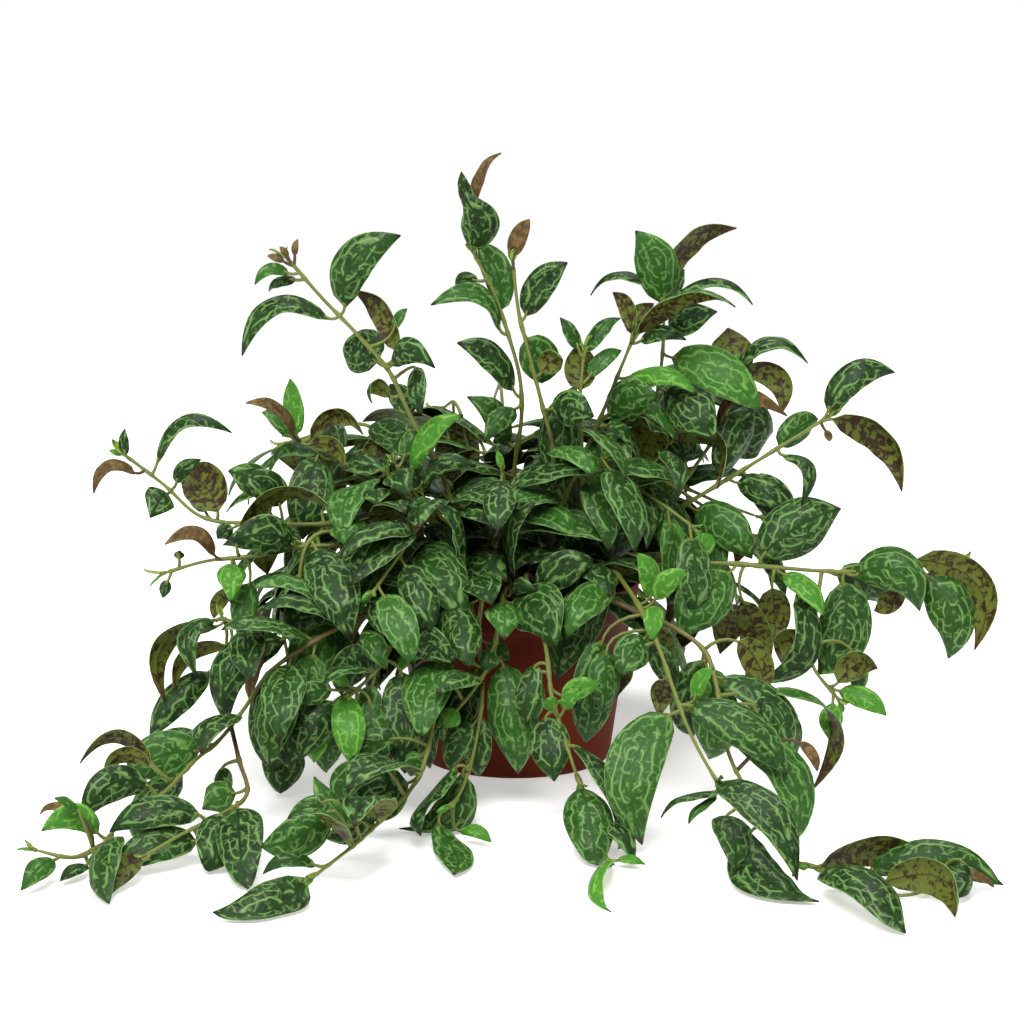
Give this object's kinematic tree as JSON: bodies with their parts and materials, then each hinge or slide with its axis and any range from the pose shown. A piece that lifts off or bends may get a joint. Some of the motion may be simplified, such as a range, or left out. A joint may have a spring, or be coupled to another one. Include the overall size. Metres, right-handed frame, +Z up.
{
  "type": "potted lipstick plant",
  "caption": "Trailing house plant with glossy marbled leaves in opposite pairs on arching and hanging stems, in a plain tapered nursery pot.",
  "frame": {"origin": "centre of the pot's flat underside, on the surface that the pot stands on", "axes": "+Z up, -Y the front that the picture shows, +X the viewer's right"},
  "size_m": [0.5653, 0.5618, 0.3845],
  "materials": {
    "pot_plastic": "satin dark terracotta brown, moulded",
    "potting_soil": "matte, crumbly, with bark chips",
    "marbled_leaf": "glossy dark green with a pale green net"
  },
  "bodies": {
    "root": {"back_arching_stem_1": "marbled_leaf", "back_arching_stem_2": "marbled_leaf", "back_arching_stem_3": "marbled_leaf", "back_arching_stem_4": "marbled_leaf", "back_arching_stem_5": "marbled_leaf", "back_crown_stem_1": "marbled_leaf", "back_crown_stem_2": "marbled_leaf", "back_crown_stem_3": "marbled_leaf", "back_crown_stem_4": "marbled_leaf", "back_trailing_stem_1": "marbled_leaf", "back_trailing_stem_2": "marbled_leaf", "back_trailing_stem_3": "marbled_leaf", "back_trailing_stem_4": "marbled_leaf", "back_trailing_stem_5": "marbled_leaf", "back_trailing_stem_6": "marbled_leaf", "crown_arching_stem": "marbled_leaf", "crown_left_stem": "marbled_leaf", "crown_middle_stem": "marbled_leaf", "crown_right_stem": "marbled_leaf", "crown_short_stem": "marbled_leaf", "floor_front_stem": "marbled_leaf", "floor_left_stem": "marbled_leaf", "floor_right_stem": "marbled_leaf", "front_fall_stem": "marbled_leaf", "front_left_fall_stem": "marbled_leaf", "front_middle_fall_stem": "marbled_leaf", "front_right_fall_stem": "marbled_leaf", "inner_left_stem": "marbled_leaf", "inner_stem_1": "marbled_leaf", "inner_stem_2": "marbled_leaf", "inner_stem_3": "marbled_leaf", "inner_stem_4": "marbled_leaf", "inner_stem_5": "marbled_leaf", "inner_stem_6": "marbled_leaf", "inner_stem_7": "marbled_leaf", "left_brown_stem": "marbled_leaf", "left_front_stem": "marbled_leaf", "left_long_stem": "marbled_leaf", "left_middle_stem": "marbled_leaf", "left_side_stem_1": "marbled_leaf", "left_side_stem_2": "marbled_leaf", "left_side_stem_3": "marbled_leaf", "left_side_stem_4": "marbled_leaf", "left_side_stem_5": "marbled_leaf", "left_side_stem_6": "marbled_leaf", "pot": "pot_plastic", "right_fall_stem": "marbled_leaf", "right_inner_stem": "marbled_leaf", "right_long_stem": "marbled_leaf", "right_rising_stem": "marbled_leaf", "right_side_stem_1": "marbled_leaf", "right_side_stem_2": "marbled_leaf", "right_side_stem_3": "marbled_leaf", "soil": "potting_soil", "upper_left_stem": "marbled_leaf"}
  },
  "joints": []
}
